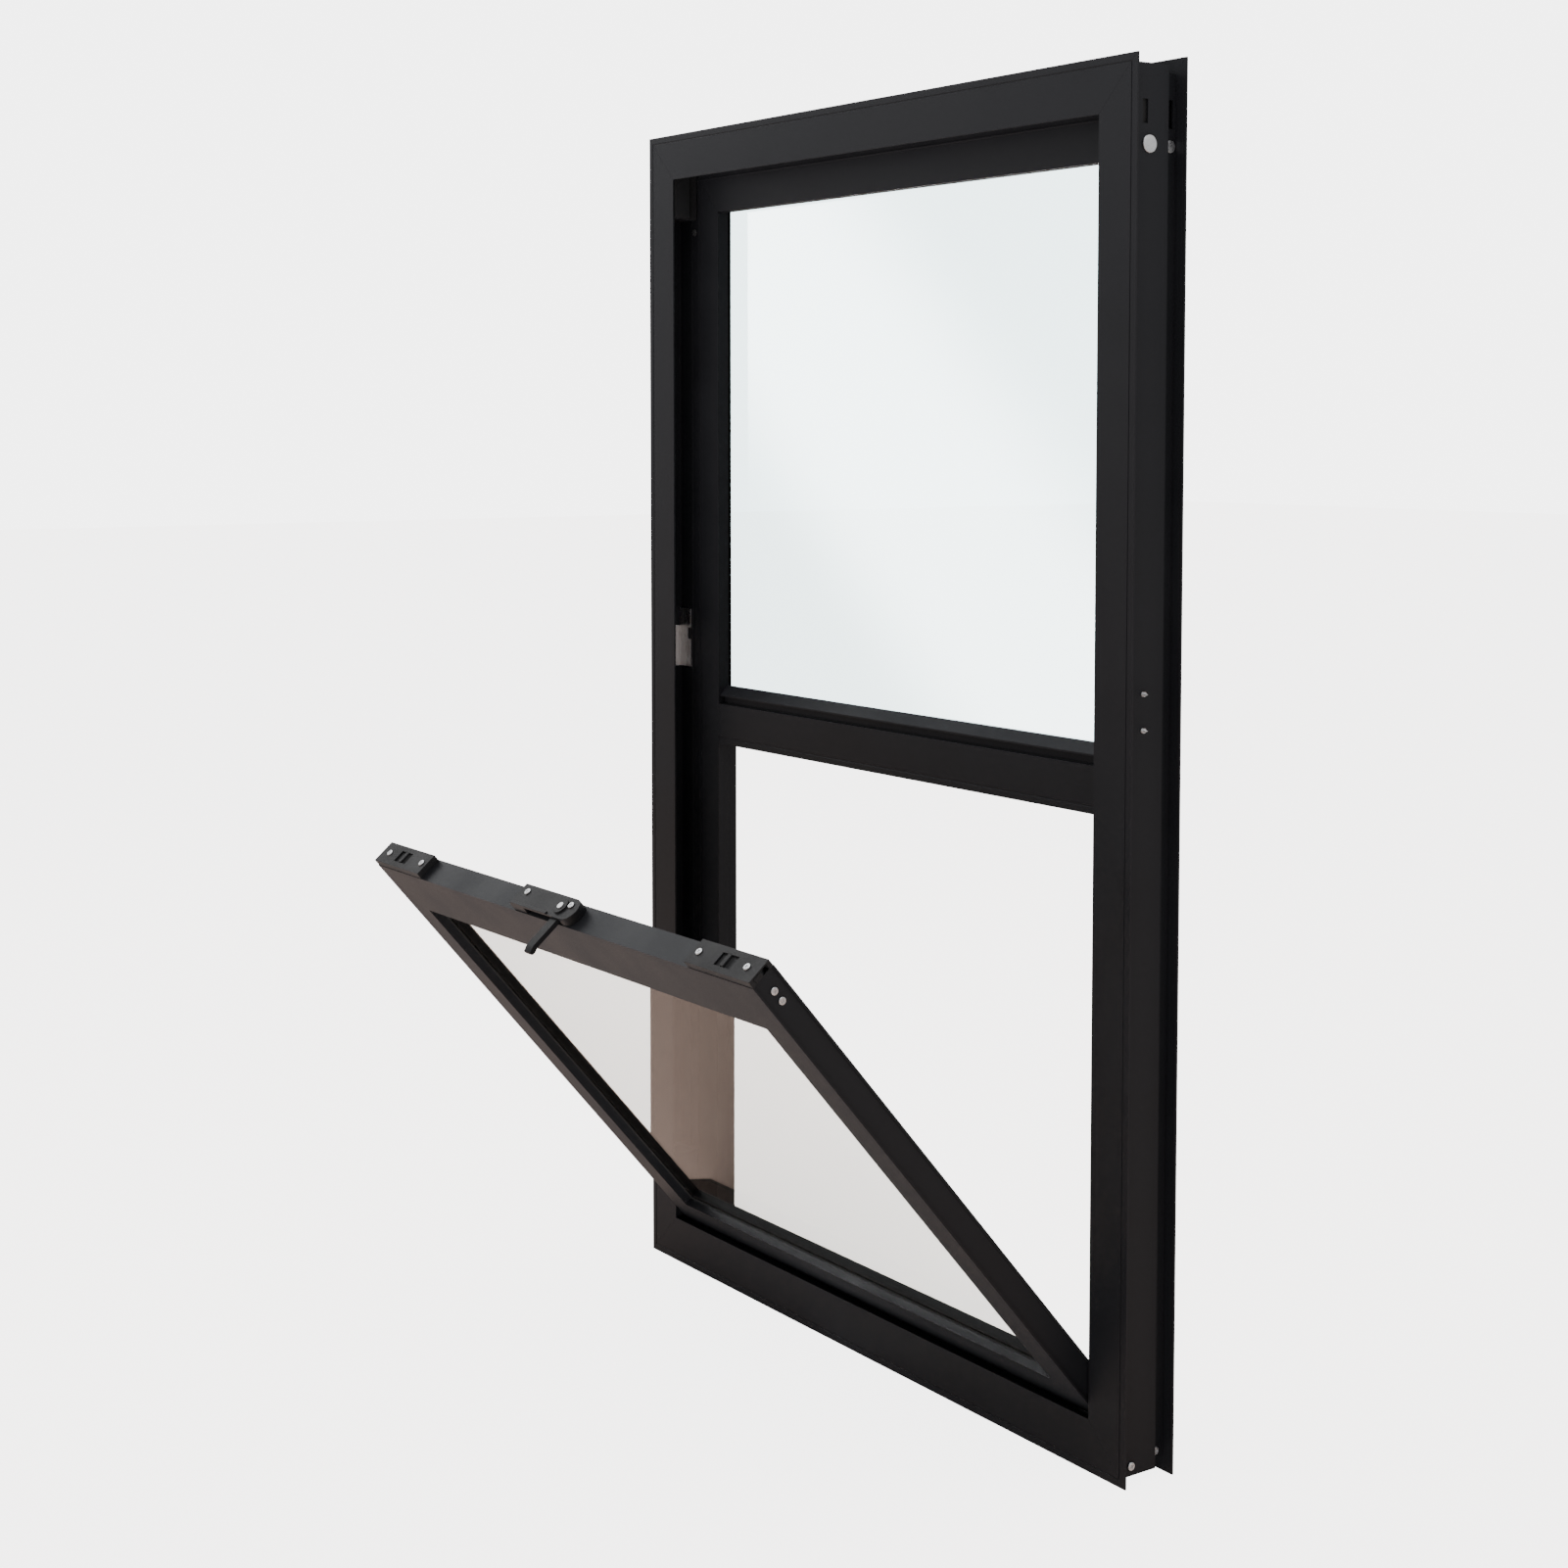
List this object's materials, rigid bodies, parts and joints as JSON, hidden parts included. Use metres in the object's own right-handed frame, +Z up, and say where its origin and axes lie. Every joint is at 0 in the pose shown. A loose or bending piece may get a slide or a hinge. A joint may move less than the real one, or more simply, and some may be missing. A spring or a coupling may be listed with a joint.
{
  "type": "sash window",
  "caption": "Single-hung aluminium window with its frame: fixed upper light and a sliding lower sash shown tilted in, with balances, tilt latches and a sash lock.",
  "frame": {"origin": "middle of the flat seat under the sill", "axes": "+X to the right seen from the room, +Y towards the outside, +Z up"},
  "size_m": [0.762, 0.4397, 1.219],
  "materials": {
    "glass": "clear",
    "seal": "matte",
    "pile": "matte",
    "plastic": "matte",
    "steel": "satin",
    "bare_aluminium": "mill",
    "die_cast": "satin",
    "coated_aluminium": "matte powder coat"
  },
  "bodies": {
    "frame": {"frame_head": "coated_aluminium", "frame_sill": "coated_aluminium", "frame_jamb_left": "coated_aluminium", "frame_jamb_right": "coated_aluminium", "head_corner_keys": "bare_aluminium", "sill_corner_keys": "bare_aluminium", "sill_corner_screws": "steel", "meeting_rail": "coated_aluminium", "meeting_rail_cleats": "bare_aluminium", "meeting_rail_screws": "steel", "upper_glass": "glass", "upper_glass_seal": "seal", "glass_bead_head": "coated_aluminium", "glass_bead_meeting": "coated_aluminium", "glass_bead_left": "coated_aluminium", "glass_bead_right": "coated_aluminium", "jamb_cover_left": "coated_aluminium", "jamb_cover_right": "coated_aluminium", "stop_block_left": "plastic", "stop_block_right": "plastic", "stop_screws": "steel", "balance_bracket_left": "steel", "balance_bracket_right": "steel", "bracket_screws": "steel", "balance_ribbon_left": "steel", "balance_ribbon_right": "steel", "jamb_plugs": "steel"},
    "shoes": {"balance_shoe_left": "plastic", "balance_shoe_right": "plastic", "balance_coil_left": "steel", "balance_coil_right": "steel"},
    "sash": {"sash_top_rail": "coated_aluminium", "sash_bottom_rail": "coated_aluminium", "sash_stile_left": "coated_aluminium", "sash_stile_right": "coated_aluminium", "sash_glass": "glass", "sash_glass_seal": "seal", "sash_screws": "steel", "sash_pile_left": "pile", "sash_pile_right": "pile", "sash_pile_top": "pile", "sash_bottom_seal": "seal", "pivot_bar_left": "steel", "pivot_bar_right": "steel", "pivot_cam_left": "plastic", "pivot_cam_right": "plastic", "latch_case_left": "plastic", "latch_case_right": "plastic", "latch_screws": "steel", "latch_spring_left": "steel", "latch_spring_right": "steel", "lock_case": "die_cast", "lock_screws": "steel", "lock_pin": "steel"},
    "latch_left": {"latch_bolt_left": "plastic"},
    "latch_right": {"latch_bolt_right": "plastic"},
    "lock": {"lock_lever": "die_cast", "lock_cam": "steel"}
  },
  "joints": [
    {"name": "sash_slide", "type": "slide", "parent": "frame", "child": "shoes", "axis": [0, 0, 1], "range_m": [0, 0.51], "deforming": ["balance_ribbon_left", "balance_ribbon_right"]},
    {"name": "sash_tilt", "type": "hinge", "parent": "shoes", "child": "sash", "pos_m": [0, -0.005, 0.055], "axis": [1, 0, 0], "range_deg": [-40.5, 49.5]},
    {"name": "latch_slide_left", "type": "slide", "parent": "sash", "child": "latch_left", "axis": [-1, 0, 0], "range_m": [0, 0.009]},
    {"name": "latch_slide_right", "type": "slide", "parent": "sash", "child": "latch_right", "axis": [1, 0, 0], "range_m": [0, 0.009]},
    {"name": "lock_turn", "type": "hinge", "parent": "sash", "child": "lock", "pos_m": [0.027, -0.36285, 0.47398], "axis": [0, -0.6494, 0.7604], "range_deg": [-90, 0]}
  ]
}
